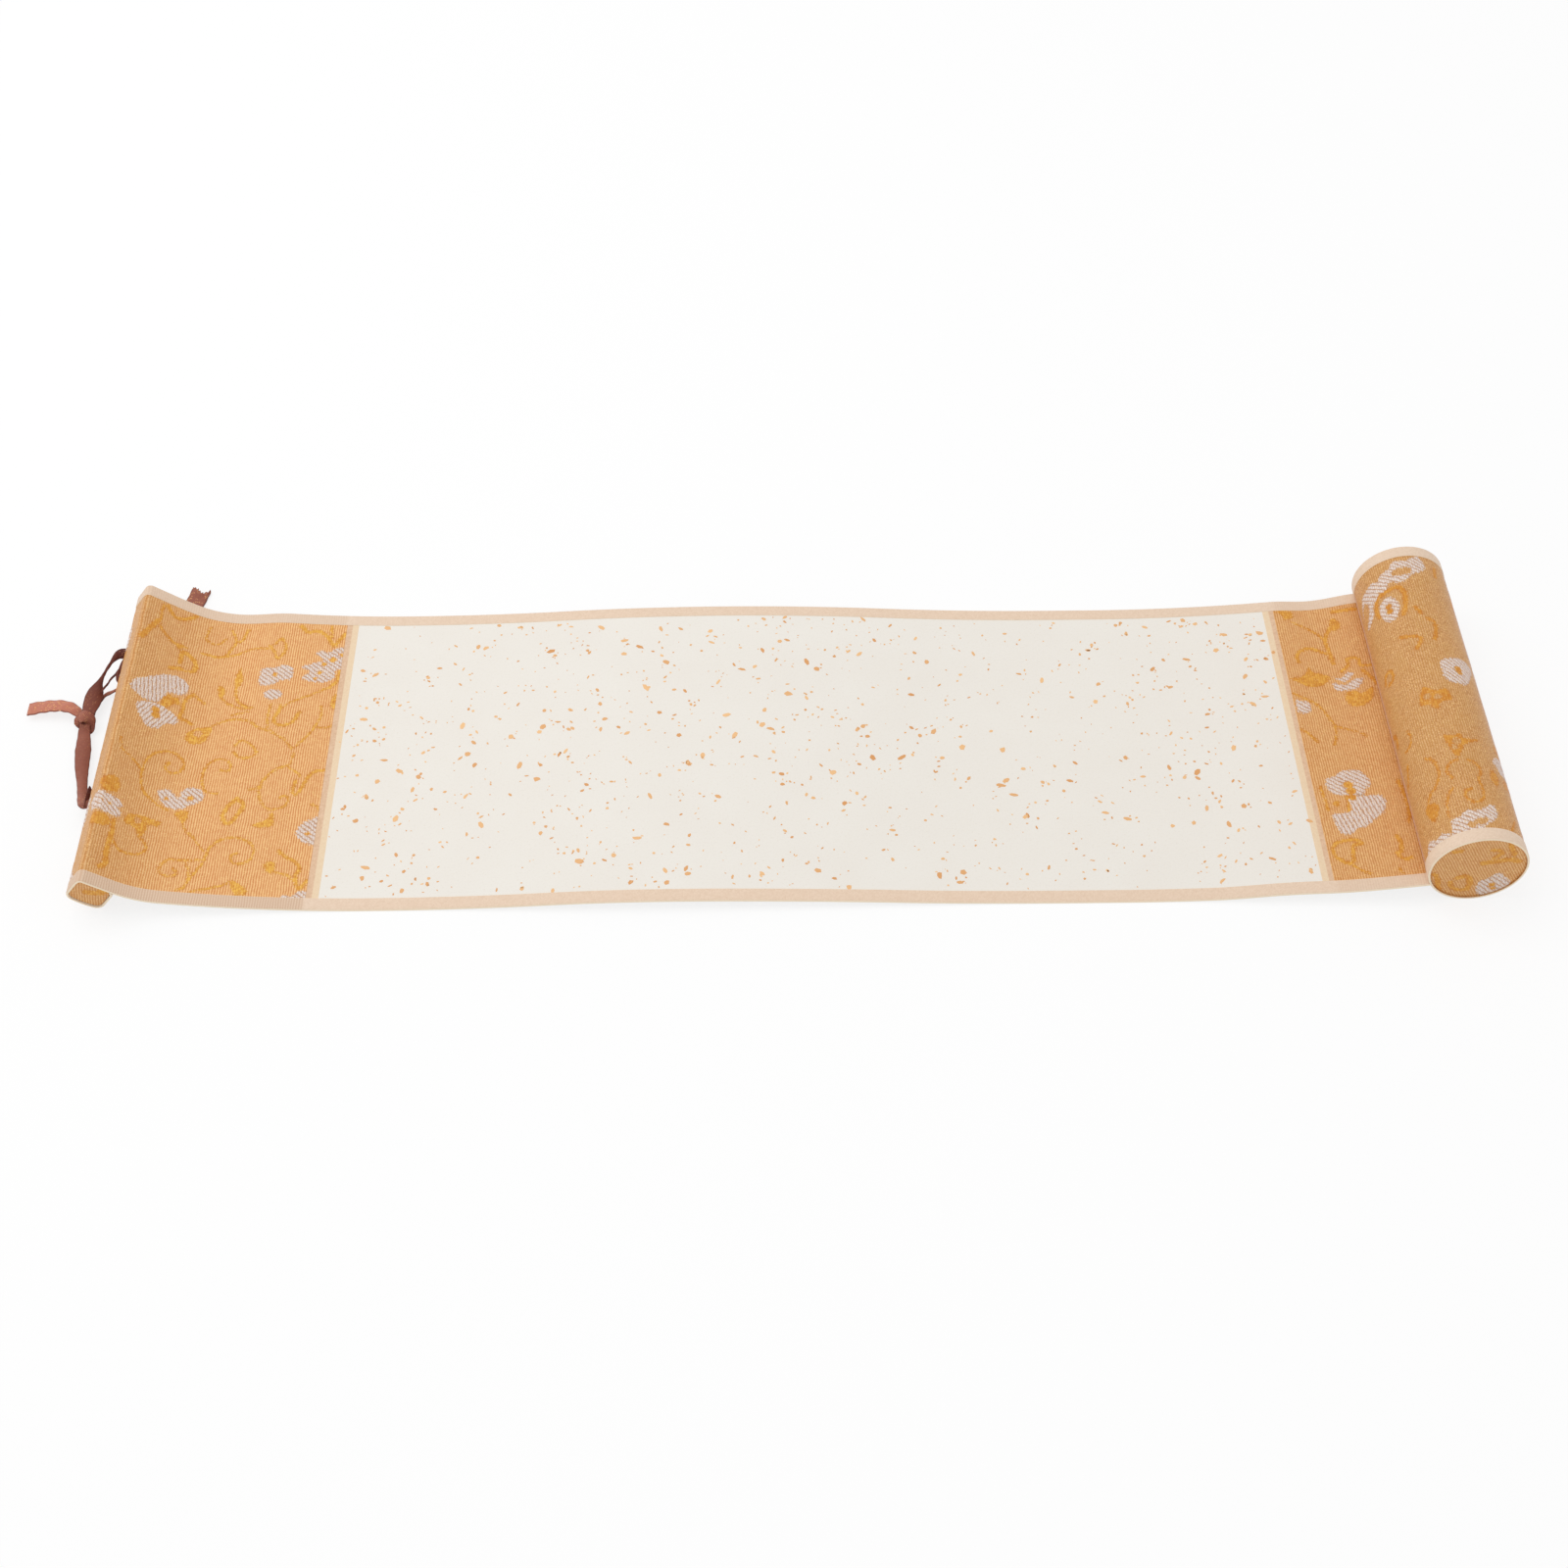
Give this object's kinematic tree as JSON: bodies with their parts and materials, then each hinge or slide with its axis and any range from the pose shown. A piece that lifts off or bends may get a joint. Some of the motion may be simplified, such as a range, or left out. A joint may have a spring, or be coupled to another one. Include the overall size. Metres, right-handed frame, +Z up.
{
  "type": "paper hand scroll",
  "caption": "Small blank hand scroll laid open: gold-flecked writing paper between brocade ends, a stave with a ribbon tie at one end and a wrapped roller at the other.",
  "frame": {"origin": "on the table, under the middle of the scroll without its tie", "axes": "+X along the scroll from the stave to the roller, +Y along the two rods, away from the viewer, +Z up from the table"},
  "size_m": [0.4578, 0.1345, 0.029],
  "materials": {
    "writing_paper": "matte off-white paper with sprinkled gold flecks",
    "backing_paper": "plain matte backing paper",
    "brocade": "ribbed silk brocade with woven vines and pale flowers",
    "edge_silk": "plain peach-beige silk",
    "cream_silk": "plain cream silk",
    "wood": "plain turned softwood",
    "ribbon": "brown satin ribbon with a glint of gold thread"
  },
  "bodies": {
    "root": {"back_edge_strip": "edge_silk", "backing_sheet": "backing_paper", "front_edge_strip": "edge_silk", "head_brocade": "brocade", "head_cream_line": "cream_silk", "head_cross_band": "edge_silk", "paper_panel": "writing_paper", "roller_back_cap": "brocade", "roller_front_cap": "brocade", "roller_rod": "wood", "stave_back_cap": "brocade", "stave_front_cap": "brocade", "stave_rod": "wood", "tail_brocade": "brocade", "tail_cream_line": "cream_silk", "tail_cross_band": "edge_silk", "tie_back_tail": "ribbon", "tie_far_strand": "ribbon", "tie_knot": "ribbon", "tie_left_tail": "ribbon", "tie_near_strand": "ribbon"}
  },
  "joints": []
}
